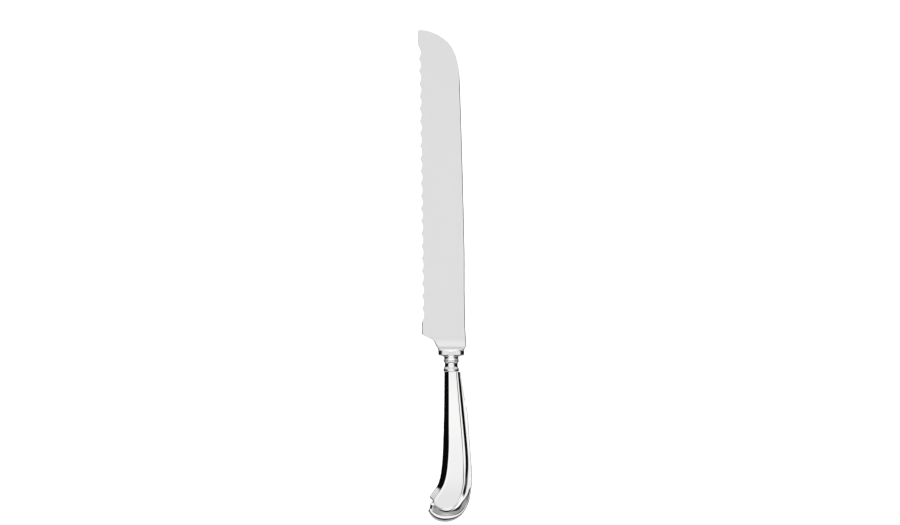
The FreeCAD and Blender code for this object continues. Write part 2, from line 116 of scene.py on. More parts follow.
def make_world():
    """Light from above with dark sides east and west, and grey ones north and south."""
    world = bpy.data.worlds.new("studio")
    bpy.context.scene.world = world
    world.use_nodes = True
    tree = world.node_tree
    tree.nodes.clear()
    direction = add_node(tree, "ShaderNodeTexCoord").outputs["Generated"]
    split = add_node(tree, "ShaderNodeSeparateXYZ")
    tree.links.new(direction, split.inputs[0])
    x, y, z = split.outputs

    def combine(operation, *values):
        return math_node(tree, operation, *values)

    def band(value, limits):
        return ramp_between(tree, value, *limits)

    flat = combine("SQRT", combine("ADD", combine("MULTIPLY", x, x), combine("MULTIPLY", y, y)))
    north = combine("DIVIDE", y, combine("MAXIMUM", flat, 0.0001))
    south_tilt = combine("MULTIPLY", y, -1.0)
    shade = combine("MULTIPLY", band(south_tilt, SOUTH_SHADE), band(south_tilt, SOUTH_SHADE_END))
    north_shade = combine("MULTIPLY", band(y, NORTH_SHADE), band(y, NORTH_SHADE_END))
    top = combine("SUBTRACT", combine("SUBTRACT", band(z, OFF_AXIS), shade), north_shade)
    glint = combine("MULTIPLY", band(z, GLINT), band(north, GLINT_AROUND))
    north_light = combine("ADD", band(z, NORTH_LIGHT), glint)
    north_side = combine("MULTIPLY", band(north, NORTH_AROUND), north_light)
    south_light = combine("ADD", band(z, SOUTH_HIGH), band(z, SOUTH_MIDDLE))
    south_light = combine("SUBTRACT", south_light, band(z, SOUTH_LOW))
    south_side = combine("MULTIPLY", band(north, SOUTH_AROUND), south_light)
    south_side = combine("MULTIPLY", south_side, band(z, SOUTH_END))
    side = combine("ADD", combine("ADD", north_side, south_side), DARKEST)
    overhead = band(z, OVERHEAD)
    light = combine("ADD", combine("MULTIPLY", top, overhead),
                    combine("MULTIPLY", side, combine("SUBTRACT", 1.0, overhead)))
    path = add_node(tree, "ShaderNodeLightPath")
    seen = add_node(tree, "ShaderNodeMix", data_type="FLOAT")
    tree.links.new(path.outputs["Is Camera Ray"], seen.inputs["Factor"])
    tree.links.new(light, seen.inputs[2])
    seen.inputs[3].default_value = 1.0
    background = add_node(tree, "ShaderNodeBackground")
    tree.links.new(seen.outputs[0], background.inputs["Color"])
    output = add_node(tree, "ShaderNodeOutputWorld")
    tree.links.new(background.outputs[0], output.inputs["Surface"])


def make_floor():
    """A plain pale floor that the polished faces don't mirror."""
    mesh = bpy.data.meshes.new("floor")
    half = FLOOR_HALF
    mesh.from_pydata([(-half, -half, 0), (half, -half, 0), (half, half, 0), (-half, half, 0)],
                     [], [(0, 1, 2, 3)])
    floor = bpy.data.objects.new("floor", mesh)
    bpy.context.scene.collection.objects.link(floor)
    floor.visible_glossy = False
    material = bpy.data.materials.new("pale_floor")
    material.use_nodes = True
    shader = material.node_tree.nodes["Principled BSDF"]
    shader.inputs["Base Color"].default_value = (0.9, 0.9, 0.9, 1)
    shader.inputs["Roughness"].default_value = 0.8
    shader.inputs["Specular IOR Level"].default_value = 0.1
    mesh.materials.append(material)


def make_lamp():
    light = bpy.data.lights.new("overhead", "AREA")
    light.shape = "DISK"
    light.size = LAMP_SIZE
    light.energy = LAMP_POWER
    lamp = bpy.data.objects.new("overhead", light)
    lamp.location = (0, 0, LAMP_HEIGHT)
    lamp.visible_glossy = False
    lamp.visible_camera = False
    bpy.context.scene.collection.objects.link(lamp)


def make_camera():
    camera = bpy.data.cameras.new("camera")
    camera.lens = CAMERA_LENS
    camera.sensor_width = 36
    camera.clip_end = 20
    item = bpy.data.objects.new("camera", camera)
    spot = place(*CAMERA_SPOT)
    item.location = (spot.x, spot.y, NECK.z + CAMERA_HEIGHT)
    bpy.context.scene.collection.objects.link(item)
    bpy.context.scene.camera = item


bpy.context.scene.view_settings.view_transform = "Standard"
make_camera()
make_world()
make_floor()
make_lamp()


# ---------------------------------------------------------------- curves and grids

def smooth_curve(xs, ys):
    """A natural cubic curve through points with rising xs."""
    xs, ys = np.array(xs), np.array(ys)
    gap = np.diff(xs)
    count = len(xs)
    matrix, side = np.eye(count), np.zeros(count)
    for n in range(1, count - 1):
        matrix[n, n - 1:n + 2] = gap[n - 1], 2 * (gap[n - 1] + gap[n]), gap[n]
        side[n] = 6 * ((ys[n + 1] - ys[n]) / gap[n] - (ys[n] - ys[n - 1]) / gap[n - 1])
    bend = np.linalg.solve(matrix, side)

    def value(x):
        n = int(min(max(np.searchsorted(xs, x) - 1, 0), count - 2))
        a, b = xs[n + 1] - x, x - xs[n]
        h = gap[n]
        return float((bend[n] * a ** 3 + bend[n + 1] * b ** 3) / (6 * h)
                     + (ys[n] / h - bend[n] * h / 6) * a + (ys[n + 1] / h - bend[n + 1] * h / 6) * b)
    return value


def mix(a, b, share):
    return a + (b - a) * share


def smooth_step(value, low, high):
    share = min(max((value - low) / (high - low), 0.0), 1.0)
    return share * share * (3 - 2 * share)


def grid_mesh(name, rows, closed=False):
    """A mesh over rows of points in millimetres from the neck; closed joins the row ends."""
    width = len(rows[0])
    mesh = bpy.data.meshes.new(name)
    points = [place(*point) for row in rows for point in row]
    faces = []
    for i in range(len(rows) - 1):
        for j in range(width if closed else width - 1):
            k = (j + 1) % width
            faces.append((i * width + j, (i + 1) * width + j, (i + 1) * width + k, i * width + k))
    mesh.from_pydata(points, [], faces)
    mesh.validate()
    return mesh


def finish_mesh(mesh, sharp_angle):
    """Merges meeting points, drops empty faces and shades smooth between sharp edges."""
    shape = bmesh.new()
    shape.from_mesh(mesh)
    bmesh.ops.remove_doubles(shape, verts=shape.verts, dist=2e-6)
    bmesh.ops.dissolve_degenerate(shape, dist=1e-6, edges=shape.edges)
    shape.to_mesh(mesh)
    shape.free()
    mesh.polygons.foreach_set("use_smooth", [True] * len(mesh.polygons))
    mesh.set_sharp_from_angle(angle=math.radians(sharp_angle))


def add_piece(name, mesh, material, node):
    """A visible piece that stands for a CAD node."""
    piece = bpy.data.objects.new(name, mesh)
    bpy.context.scene.collection.objects.link(piece)
    mesh.materials.append(material)
    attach(piece, "root")
    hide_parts(node)
    return piece


# ---------------------------------------------------------------- handle

# Lines of the handle on its side view, close to those of the CAD: a share of the length down
# from the mouth and a share of the width across from the axis of the collar.
COLLAR_LENGTH = 10.8
HANDLE_LENGTH = 108.2
HANDLE_WIDTH = 31.6
FRONT = ((0, -0.154), (0.19, -0.160), (0.39, -0.174), (0.589, -0.202), (0.670, -0.231),
         (0.722, -0.266), (0.761, -0.316), (0.788, -0.376), (0.828, -0.483))
PANEL_FRONT = ((0, -0.046), (0.19, -0.044), (0.39, -0.043), (0.522, -0.044), (0.589, -0.058),
               (0.670, -0.089), (0.722, -0.130), (0.751, -0.166), (0.777, -0.214),
               (0.853, -0.380))
CREASE = ((0, 0.109), (0.19, 0.165), (0.456, 0.239), (0.655, 0.269), (0.775, 0.248),
          (0.855, 0.155), (0.882, 0.098), (0.910, -0.095), (0.902, -0.256),
          (0.882, -0.345), (0.864, -0.394))
BEVEL_FOOT = ((0, 0.148), (0.19, 0.211), (0.456, 0.298), (0.655, 0.327), (0.775, 0.288),
              (0.855, 0.194), (0.903, 0.067), (0.922, -0.095), (0.912, -0.255),
              (0.888, -0.370), (0.871, -0.420))
RIM_INNER = ((0, 0.201), (0.19, 0.270), (0.456, 0.360), (0.655, 0.402), (0.775, 0.370),
             (0.855, 0.258), (0.912, 0.087), (0.931, -0.095), (0.921, -0.255),
             (0.897, -0.380), (0.879, -0.472))
RIM_OUTER = ((0, 0.204), (0.256, 0.350), (0.389, 0.383), (0.589, 0.427), (0.722, 0.444),
             (0.828, 0.405), (0.882, 0.342), (0.935, 0.212), (0.959, -0.095),
             (0.948, -0.323), (0.910, -0.487))
BACK = ((0, 0.207), (0.15, 0.285), (0.256, 0.361), (0.389, 0.402), (0.522, 0.434),
        (0.655, 0.467), (0.722, 0.474), (0.788, 0.4525), (0.855, 0.408), (0.921, 0.320),
        (0.975, 0.146), (1.0, -0.095), (0.993, -0.301), (0.961, -0.459), (0.925, -0.525))
RAILS = (CREASE, BEVEL_FOOT, RIM_INNER, RIM_OUTER, BACK)

# The moulding is drawn in sections square to the axis down to this height, and then in
# sections that turn about this centre round the butt.
TURN_U, TURN_V = -3.0, -88.0
TURN_REACH = 16.0

# The section of the moulding: the rail it starts from, the share of the way to the next rail
# and the depth under the panel, first along the back and then round the butt.
SECTION = (
    (0, 0.00, 0.00, 0.00, 0.00), (0, 0.04, 0.04, 0.04, 0.03), (0, 0.32, 0.42, 0.16, 0.18),
    (0, 0.36, 0.44, 0.20, 0.21), (0, 0.60, 0.48, 0.55, 0.36), (0, 0.88, 0.54, 0.84, 0.48),
    (0, 0.96, 0.60, 0.95, 0.55), (1, 0.00, 0.66, 0.00, 0.59), (1, 0.08, 0.76, 0.12, 0.65),
    (1, 0.50, 1.36, 0.50, 0.85), (1, 0.90, 1.92, 0.84, 1.03), (1, 0.97, 1.98, 0.94, 1.09),
    (2, 0.00, 2.00, 0.00, 1.13), (2, 0.15, 2.00, 0.10, 1.35), (2, 0.30, 2.01, 0.25, 1.72),
    (2, 0.50, 2.03, 0.45, 2.25), (2, 0.68, 2.07, 0.65, 2.83), (2, 0.84, 2.12, 0.84, 3.40),
    (2, 0.96, 2.17, 0.95, 3.72), (3, 0.00, 2.19, 0.00, 3.80), (3, 0.08, 2.25, 0.025, 3.90),
    (3, 0.14, 2.26, 0.06, 3.92), (3, 0.30, 2.28, 0.20, 3.96), (3, 0.45, 2.31, 0.34, 4.02),
    (3, 0.58, 2.35, 0.38, 4.07), (3, 0.70, 2.41, 0.42, 4.17), (3, 0.80, 2.50, 0.53, 4.43),
    (3, 0.88, 2.66, 0.62, 4.645), (3, 0.93, 2.90, 0.78, 5.15), (3, 0.965, 3.25, 0.93, 5.62),
    (3, 0.99, 3.70, 0.97, 5.95), (4, 0.00, 4.20, 0.00, 6.55),
)
# The butt section's outer face is drawn for this width between the last two rails, starts at
# this depth, and gets shallower where the rails are closer.
OUTER_WIDTH = 4.4
OUTER_DEPTH = 3.8
PANEL_HEIGHT = 7.0
NECK_HEIGHT = 5.5
TAPER_LENGTH = 50.0
SIDE_SHARE = 0.543
SINK_START = 86.0
SINK_LENGTH = 24.0
SINK_DEPTH = 0.5
SHELL_WALL = 0.7
SHARP_ANGLE = 30

# The front facet: its rounded lower edge as places across and heights, then the share of the
# width where the flat starts, and how far before the panel it ends.
FACET_EDGE = ((0.04, -0.12), (0.16, 0.10))
FACET_LEAD = 0.22
FACET_LEFT = 0.45
PANEL_ROUND = 1.3
ROUND_STEPS = (0.12, 0.25, 0.4, 0.55, 0.7)
SEAM_STEPS = (0.66, 0.33, 0.0)

# Rows along the handle, and the shares of the turning rows over which the moulding's inner
# and outer parts change from the back's section to the butt's.
STRAIGHT_ROWS = 130
TURNING_ROWS = 150
INNER_TURN = (0.25, 0.49)
OUTER_TURN = (0.08, 0.38)

# The free end of the moulding: its length round the butt, the rounding of its end in each
# zone, the share of height left there, and how far the end walls lean out.
MOULDING_RUN = 38.0
END_ROUNDING = (0.0, 0.0, 2.2, 0.7, 0.7)
END_HEIGHT = 0.08
BEAK_LEAN = np.array((-0.62, -0.78))
END_BULGE = np.array((-0.06, 0.04))

# The mouth: the hole for the collar's spigot, the middle of the opening and the lip's rounding.
MOUTH_HOLE = 3.95
MOUTH_CENTRE = 0.9
MOUTH_HALF = 6
MOUTH_ROUND = 0.12


def on_side_view(shares):
    return HANDLE_WIDTH * shares[1], -COLLAR_LENGTH - HANDLE_LENGTH * shares[0]


def rail_curve(table):
    """The reach of a rail from the turning axis against travel along it, and its last travel."""
    travels, reaches = [], []
    for shares in table:
        u, v = on_side_view(shares)
        if v >= TURN_V:
            travels.append(-v)
            reaches.append(u - TURN_U)
        else:
            travels.append(-TURN_V - TURN_REACH * math.atan2(v - TURN_V, u - TURN_U))
            reaches.append(math.hypot(u - TURN_U, v - TURN_V))
    return smooth_curve(travels, reaches), travels[-1]


def rail_point(curve, travel):
    reach = curve(travel)
    if travel <= -TURN_V:
        return np.array((TURN_U + reach, -travel))
    angle = (travel + TURN_V) / TURN_REACH
    return np.array((TURN_U + reach * math.cos(angle), TURN_V - reach * math.sin(angle)))


def front_curve(table):
    """A line of the front as its place across against travel down, and its last travel."""
    places = [on_side_view(shares) for shares in table]
    return smooth_curve([-v for u, v in places], [u for u, v in places]), -places[-1][1]


def panel_level(v):
    """Height of the panel: it rises from the neck, and sinks a little towards the butt."""
    down = (-COLLAR_LENGTH - v) / TAPER_LENGTH
    rise = 1 - (1 - min(down, 1.0)) ** 2
    sink = SINK_DEPTH * max(0.0, (-SINK_START - v) / SINK_LENGTH) ** 2
    return mix(NECK_HEIGHT, PANEL_HEIGHT, rise) - sink


def handle_section(turn, outer_turn, front, panel_front, rails, end_gap):
    """One row of points of the left shell, from the seam in front to the seam at the back."""
    level = panel_level(panel_front[1])
    foot = SIDE_SHARE * level
    row = [(*front, foot * share) for share in (0.0, 0.4, 0.8)]
    width = max(np.linalg.norm(panel_front - front), 0.01)
    row += [(*mix(front, panel_front, inward / width), foot + up) for inward, up in FACET_EDGE]
    edge = 1 - FACET_LEFT / width
    for share in (0.3, 0.5, 0.75, 1.0):
        along = mix(FACET_LEAD, edge, (share - 0.3) / 0.7)
        row.append((*mix(front, panel_front, along), mix(foot, level, along)))
    start = np.array(row[-1])
    corner = np.array((*panel_front, level))
    crease = rails[0]
    across = max(np.linalg.norm(crease - panel_front), 0.01)
    level_back = panel_level(crease[1])
    ahead = min(PANEL_ROUND / across, 0.5)
    end = np.array((*mix(panel_front, crease, ahead), mix(level, level_back, ahead)))
    for share in (*ROUND_STEPS, 0.85, 1.0):
        row.append(tuple(mix(mix(start, corner, share), mix(corner, end, share), share)))
    for share in (*ROUND_STEPS, 0.82, 0.92):
        along = mix(ahead, 1.0, share)
        spot = mix(panel_front, crease, along)
        row.append((*spot, mix(level, level_back, along)))
    for rail, side_share, side_depth, butt_share, butt_depth in SECTION:
        if rail >= 3:
            reach = min(np.linalg.norm(rails[4] - rails[3]) / OUTER_WIDTH, 1.0)
            butt_depth = OUTER_DEPTH + (butt_depth - OUTER_DEPTH) * reach
        blend = mix(turn, outer_turn, (0.0, 0.0, side_share, 1.0, 1.0)[rail])
        share = mix(side_share, butt_share, blend)
        depth = mix(side_depth, butt_depth, blend)
        spot = mix(rails[rail], rails[min(rail + 1, 4)], share)
        height = level_back * (1 - depth / PANEL_HEIGHT)
        rounding = END_ROUNDING[rail]
        if end_gap < rounding:
            height *= mix(END_HEIGHT, 1.0, math.sqrt(max(0.0, 1 - (1 - end_gap / rounding) ** 2)))
        row.append((*spot, height))
    top = row[-1][2]
    row += [(*rails[4], top * share) for share in SEAM_STEPS]
    return row


def handle_rows():
    """The rows of the left shell, from the mouth round the butt to the free end."""
    curves = [rail_curve(table) for table in RAILS]
    front, front_end = front_curve(FRONT)
    panel, panel_end = front_curve(PANEL_FRONT)
    rows = []
    for n in range(STRAIGHT_ROWS):
        travel = mix(COLLAR_LENGTH, -TURN_V, n / STRAIGHT_ROWS)
        rails = [rail_point(curve, travel) for curve, end in curves]
        rows.append(handle_section(0.0, 0.0, np.array((front(travel), -travel)),
                                   np.array((panel(travel), -travel)), rails, math.inf))
    for n in range(TURNING_ROWS + 1):
        share = n / TURNING_ROWS
        rails = [rail_point(curve, mix(-TURN_V, end, share)) for curve, end in curves]
        down = mix(-TURN_V, front_end, share)
        panel_down = mix(-TURN_V, panel_end, share)
        turn = smooth_step(share, *INNER_TURN)
        outer_turn = smooth_step(share, *OUTER_TURN)
        end_gap = (1 - share) * MOULDING_RUN
        rows.append(handle_section(turn, outer_turn, np.array((front(down), -down)),
                                   np.array((panel(panel_down), -panel_down)), rails, end_gap))
    return rows


def end_rows(last):
    """The end of the beak and the free end of the moulding, down to the seam."""
    back_count = len(SECTION) + len(SEAM_STEPS)
    first_back = len(last) - back_count
    feet = []
    for n, point in enumerate(last):
        lean = BEAK_LEAN
        if n >= first_back:
            lean = END_BULGE * math.sin(math.pi * (n - first_back) / (back_count - 1))
        feet.append(np.array(point[:2]) + lean)
    rows = []
    for down in (0.03, 0.12, 0.3, 0.6, 1.0):
        outs = [down if n < first_back else math.sqrt(down) for n in range(len(last))]
        rows.append([(*mix(np.array(point[:2]), foot, out), point[2] * (1 - down))
                     for point, foot, out in zip(last, feet, outs)])
    return rows


def mouth_rows(first):
    """The rounded mouth, and the flat end of the shell round the collar's spigot."""
    rows = []
    for inward, back in ((0.10, 0.03), (0.28, 0.0)):
        share = inward / MOUTH_HALF
        rows.append([(mix(u, MOUTH_CENTRE, share), -COLLAR_LENGTH - back, z * (1 - share))
                     for u, v, z in first])
    ring = []
    for u, v, z in first:
        scale = MOUTH_HOLE / max(math.hypot(u, z), 0.01)
        ring.append((u * scale, -COLLAR_LENGTH, z * scale))
    between = [tuple(mix(np.array(a), np.array(b), 0.5)) for a, b in zip(ring, rows[1])]
    return [ring, between] + rows[::-1]


def shell_mesh(name, side):
    """One stamped shell with its wall, the left one for side 1 and the right one for -1."""
    rows = handle_rows()
    rows[0] = [(u, v - MOUTH_ROUND, z) for u, v, z in rows[0]]
    rows = mouth_rows(rows[0]) + rows + end_rows(rows[-1])
    outside = grid_mesh(name + "_outside", [[(u, v, side * z) for u, v, z in row] for row in rows])
    finish_mesh(outside, SHARP_ANGLE)
    if side * sum(face.normal.z * face.area for face in outside.polygons) < 0:
        outside.flip_normals()
    points = [vertex.co.copy() for vertex in outside.vertices]
    count = len(points)
    faces = [tuple(face.vertices) for face in outside.polygons]
    sides = dict.fromkeys(ends for face in faces for ends in zip(face, face[1:] + face[:1]))
    rim = [(a, b) for a, b in sides if (b, a) not in sides]
    inner = []
    for vertex in outside.vertices:
        point = vertex.co - vertex.normal * SHELL_WALL * MM
        over = side * (point.z - NECK.z)
        if over < 0 or side * (vertex.co.z - NECK.z) < 1e-6:
            point.z = NECK.z
        inner.append(point)
    mesh = bpy.data.meshes.new(name)
    mesh.from_pydata(points + inner, [],
                     faces + [tuple(n + count for n in face[::-1]) for face in faces]
                     + [(b, a, a + count, b + count) for a, b in rim])
    mesh.validate()
    mesh.polygons.foreach_set("use_smooth", [True] * len(mesh.polygons))
    mesh.set_sharp_from_angle(angle=math.radians(SHARP_ANGLE))
    bpy.data.meshes.remove(outside)
    return mesh


# ---------------------------------------------------------------- blade, bolster and tang

BLADE_LENGTH = 235.299
EDGE_LOW = (-21.2, 15.8)
EDGE_HIGH = (-24.1, 234.1)
TIP_RADIUS = 1.2
TIP_SWEEP = 47.7
SPINE_HIGH = (6.5, BLADE_LENGTH - TIP_SWEEP)
SPINE_LOW = (10.7, 8.3)
SPINE_BOW = 0.45
SPINE_WAIST = 0.5
WAIST_START = (10, 22)
WAIST_END = (42, 78)
SPINE_HALF = 1.1
EDGE_HALF = 0.5
BOLSTER_HALF = 9.25
BOLSTER_DEEP = 5.0
SHOULDER = 4.3
BOLSTER_FOOT = 0.8
ROOT_START = 15.1
ROOT_RADIUS = 18.0
FIRST_SCALLOP = 9.7
SCALLOP_PITCH = 9.0
SCALLOPS = 22
SCALLOP_DEPTH = 1.65
TOOTH_INSET = 0.35
SCALLOP_ANGLE = math.radians(12)
SCALLOP_FALL = SCALLOP_DEPTH * math.sin(SCALLOP_ANGLE)
SCALLOP_RADIUS = ((SCALLOP_PITCH / 2) ** 2 + SCALLOP_FALL ** 2) / (2 * SCALLOP_FALL)
HEEL_PLACES = ((4.3, -9.25), (5.2, -9.45), (8.4, -11.05), (11.7, -12.95), (13.3, -15.3),
               (14.7, -18.9), (15.8, -20.95))
HEEL_INSET = 0.25
TIP_SHAPE = ((0.20, 0.0105), (0.378, 0.049), (0.666, 0.163), (0.843, 0.317),
             (0.947, 0.541), (1, 1))
TANG_LENGTH = 62.0
TANG_HALF_ROOT = 2.4
TANG_HALF_END = 1.7
TANG_DEEP = 1.5
NOTCHES = (22.0, 33.0, 44.0, 55.0)
NOTCH_RADIUS = 0.7

# Spread of the mesh points: steps in from each rim as shares of its rounding, the least
# rounding they are spread over, points between the rims, and rows to a scallop.
RIM_STEPS = (0.0, 0.05, 0.16, 0.34, 0.6, 1.0)
RIM_LEAST = 0.12
ACROSS = 34
PITCH_STEPS = 18
ROW_GAP = 0.02

# Roundings of the rims, and the heights between which they change.
HEEL_BEVEL = 0.85
TIP_BEVEL = 0.14
HEEL_END = (25.0, 25.5)
TIP_START = (223.4, 223.6)
SPINE_ROUND = 0.95
SPINE_ROUND_END = (190.0, 216.0)
RIM_CLEAR = 0.05

# How the bolster opens out: where its oval section squares up, and where the blade's hollow
# face leaves it.
BOLSTER_POWERS = (2.3, 12.0)
BOLSTER_SQUARES = (4.2, 9.6)
BOLSTER_TOP = 10.3
BOLSTER_BLEND = (3.9, 8.2)
BOLSTER_LIFT = 1.6
FOOT_CHAMFER = 0.5
FOOT_SLOPE = 0.54


def heel_curve():
    """Place across of the blade's front against height, from the shoulder to the edge."""
    return smooth_curve(*zip(*HEEL_PLACES))


def edge_place(v):
    return mix(EDGE_LOW[0], EDGE_HIGH[0], (v - EDGE_LOW[1]) / (EDGE_HIGH[1] - EDGE_LOW[1]))


def spine_place(v):
    if v < SHOULDER:
        return BOLSTER_HALF
    if v < SPINE_LOW[1]:
        return mix(BOLSTER_HALF, SPINE_LOW[0], smooth_step(v, SHOULDER, SPINE_LOW[1]))
    share = (v - SPINE_LOW[1]) / (SPINE_HIGH[1] - SPINE_LOW[1])
    waist = SPINE_WAIST * smooth_step(v, *WAIST_START) * (1 - smooth_step(v, *WAIST_END))
    return mix(SPINE_LOW[0], SPINE_HIGH[0], share) + SPINE_BOW * 4 * share * (1 - share) - waist


def scallop_travel(v):
    """Travel from the middle of the nearest scallop, or None on the plain edge."""
    travel = v - EDGE_LOW[1] - FIRST_SCALLOP
    if travel < -1e-6 or travel > SCALLOP_PITCH * SCALLOPS + 1e-6:
        return None
    number = min(max(math.floor(travel / SCALLOP_PITCH), 0), SCALLOPS - 1)
    return travel - (number + 0.5) * SCALLOP_PITCH


def scallop_drop(travel):
    return SCALLOP_RADIUS - math.sqrt(SCALLOP_RADIUS ** 2 - travel ** 2)


def edge_inset(v):
    """How far inside the plain edge line the ground edge lies."""
    travel = scallop_travel(v)
    if travel is None:
        return HEEL_INSET * (1 - smooth_step(v, *HEEL_END))
    return TOOTH_INSET + SCALLOP_DEPTH - scallop_drop(travel) / math.sin(SCALLOP_ANGLE)


def face_height(u):
    slope = (SPINE_HALF - EDGE_HALF) / (SPINE_LOW[0] - EDGE_LOW[0])
    return SPINE_HALF - (SPINE_LOW[0] - u) * slope


def top_height(u, v, left, right, left_round, right_round):
    """Height of the left face: hollow at the bolster, bevelled in front, rounded at the spine."""
    height = face_height(u)
    if v < ROOT_START:
        height += ROOT_RADIUS - math.sqrt(ROOT_RADIUS ** 2 - (ROOT_START - v) ** 2)
    if u - left < left_round:
        height -= left_round - (u - left)
    from_spine = right_round - right + u
    if from_spine > 0:
        height -= right_round - math.sqrt(max(right_round ** 2 - from_spine ** 2, 0.0))
    if v < BOLSTER_TOP:
        reach = right if u > 0 else -left
        power = mix(*BOLSTER_POWERS, smooth_step(v, *BOLSTER_SQUARES))
        bulge = BOLSTER_DEEP * (1 - min(abs(u) / reach, 1.0) ** power) ** (1 / power)
        height = min(height, bulge + BOLSTER_LIFT * smooth_step(v, *BOLSTER_BLEND))
    return height


def across_places(left, right, left_round, right_round):
    """Places across the blade, close together at both rims."""
    lead = [left + step * max(left_round, RIM_LEAST) for step in RIM_STEPS]
    tail = [right - step * max(right_round, RIM_LEAST) for step in RIM_STEPS[::-1]]
    middle = [mix(lead[-1], tail[0], (n + 1) / (ACROSS + 1)) for n in range(ACROSS)]
    return lead + middle + tail


def blade_section(v_left, v_right, left, right, left_round, right_round):
    """One loop round the blade: over the left face to the spine and back under the right."""
    upper, lower = [], []
    travel = scallop_travel(v_left) if v_left > EDGE_LOW[1] else None
    for u in across_places(left, right, left_round, right_round):
        share = (u - left) / (right - left)
        v = mix(v_left, v_right, share)
        top = top_height(u, v, left, right, left_round, right_round)
        under = -top
        if travel is not None:
            inward = u - edge_place(v_left) - TOOTH_INSET - SCALLOP_DEPTH
            ground = (face_height(u) - inward * math.tan(SCALLOP_ANGLE)
                      - scallop_drop(travel) / math.cos(SCALLOP_ANGLE))
            under = max(under, min(ground, top))
        upper.append((u, v, top))
        lower.append((u, v, under))
    return upper + lower[::-1]


def blade_rows():
    """Loops from the end of the tang up to the tip."""
    rows = []
    places = across_places(-1, 1, 0.1, 0.1)

    def flat_loop(half_width, half_depth, v):
        upper = [(u * half_width, v, half_depth) for u in places]
        return upper + [(u, v, -z) for u, v, z in upper[::-1]]

    rows.append(flat_loop(0.02, 0.02, -TANG_LENGTH))
    rows.append(flat_loop(1.5, 1.3, -TANG_LENGTH))
    stations = {TANG_LENGTH - 0.2, 0.0} | {1.0 + n * 2.4 for n in range(25)}
    for notch in NOTCHES:
        stations |= {notch + NOTCH_RADIUS * math.sin(math.radians(a)) for a in range(-90, 91, 15)}
    for depth in sorted(stations, reverse=True):
        half = mix(TANG_HALF_ROOT, TANG_HALF_END, depth / TANG_LENGTH)
        for notch in NOTCHES:
            if abs(depth - notch) < NOTCH_RADIUS:
                half -= math.sqrt(NOTCH_RADIUS ** 2 - (depth - notch) ** 2)
        rows.append(flat_loop(half, TANG_DEEP, -depth))

    heel = heel_curve()
    heights = [BOLSTER_FOOT + up for up in (0.0, 0.02, 0.07, 0.15, 0.27, 0.42, 0.5)]
    heights += [1.4 + 0.15 * n for n in range(51)]
    heights += [mix(9.0, EDGE_LOW[1], n / 22) for n in range(22)]
    heights += [mix(EDGE_LOW[1], EDGE_LOW[1] + FIRST_SCALLOP - ROW_GAP, n / 12) for n in range(13)]
    heights += [EDGE_LOW[1] + FIRST_SCALLOP + SCALLOP_PITCH * n / PITCH_STEPS
                for n in range(SCALLOPS * PITCH_STEPS + 1)]
    last = heights[-1] + ROW_GAP
    heights += [mix(last, EDGE_HIGH[1], n / 16) for n in range(17)]

    sweep = [(EDGE_HIGH[0] + (SPINE_HIGH[0] - EDGE_HIGH[0]) * across,
              BLADE_LENGTH - TIP_SWEEP * down) for across, down in TIP_SHAPE][::-1]
    sweep.append((EDGE_HIGH[0] + TIP_RADIUS, BLADE_LENGTH))
    travel = [0.0]
    for a, b in zip(sweep, sweep[1:]):
        travel.append(travel[-1] + math.hypot(b[0] - a[0], b[1] - a[1]))
    sweep_u = smooth_curve(travel, [u for u, v in sweep])
    sweep_v = smooth_curve(travel, [v for u, v in sweep])

    foot_end = BOLSTER_FOOT + FOOT_CHAMFER
    for v in heights:
        left = edge_place(v) + edge_inset(v) if v >= EDGE_LOW[1] else heel(max(v, SHOULDER))
        left_round = (HEEL_BEVEL * (1 - smooth_step(v, *HEEL_END))
                      + TIP_BEVEL * smooth_step(v, *TIP_START))
        left_round = min(left_round, face_height(left) - RIM_CLEAR)
        if v <= SPINE_HIGH[1]:
            right, v_right = spine_place(v), v
        else:
            along = travel[-1] * (v - SPINE_HIGH[1]) / (EDGE_HIGH[1] - SPINE_HIGH[1])
            right, v_right = sweep_u(along), min(sweep_v(along), BLADE_LENGTH)
        right_round = mix(SPINE_ROUND, TIP_BEVEL, smooth_step(v_right, *SPINE_ROUND_END))
        if v < foot_end:
            shrink = FOOT_SLOPE * (foot_end - v)
            loop = blade_section(foot_end, foot_end, -BOLSTER_HALF, BOLSTER_HALF,
                                 left_round, right_round)
            rows.append([(u * (1 - shrink / BOLSTER_HALF), v, z * (1 - shrink / BOLSTER_DEEP))
                         for u, _, z in loop])
        else:
            rows.append(blade_section(v, v_right, left, right, left_round, right_round))
    corner = rows[-1]
    count = len(corner) // 2
    arc = []
    for n, (u, v, z) in enumerate(corner):
        turn = math.pi / 2 * (min(n, 2 * count - 1 - n) / (count - 1))
        arc.append((EDGE_HIGH[0] + TIP_RADIUS * (1 - math.cos(turn)),
                    EDGE_HIGH[1] + TIP_RADIUS * math.sin(turn), z * 0.9))
    rows.append(arc)
    return rows


def outward(mesh):
    """Turns every face of a closed mesh to the outside."""
    shape = bmesh.new()
    shape.from_mesh(mesh)
    bmesh.ops.recalc_face_normals(shape, faces=shape.faces)
    shape.to_mesh(mesh)
    shape.free()


def blade_mesh():
    rows = blade_rows()
    mesh = grid_mesh("blade_with_bolster", rows, closed=True)
    finish_mesh(mesh, 30)
    outward(mesh)
    return mesh


# ---------------------------------------------------------------- collar

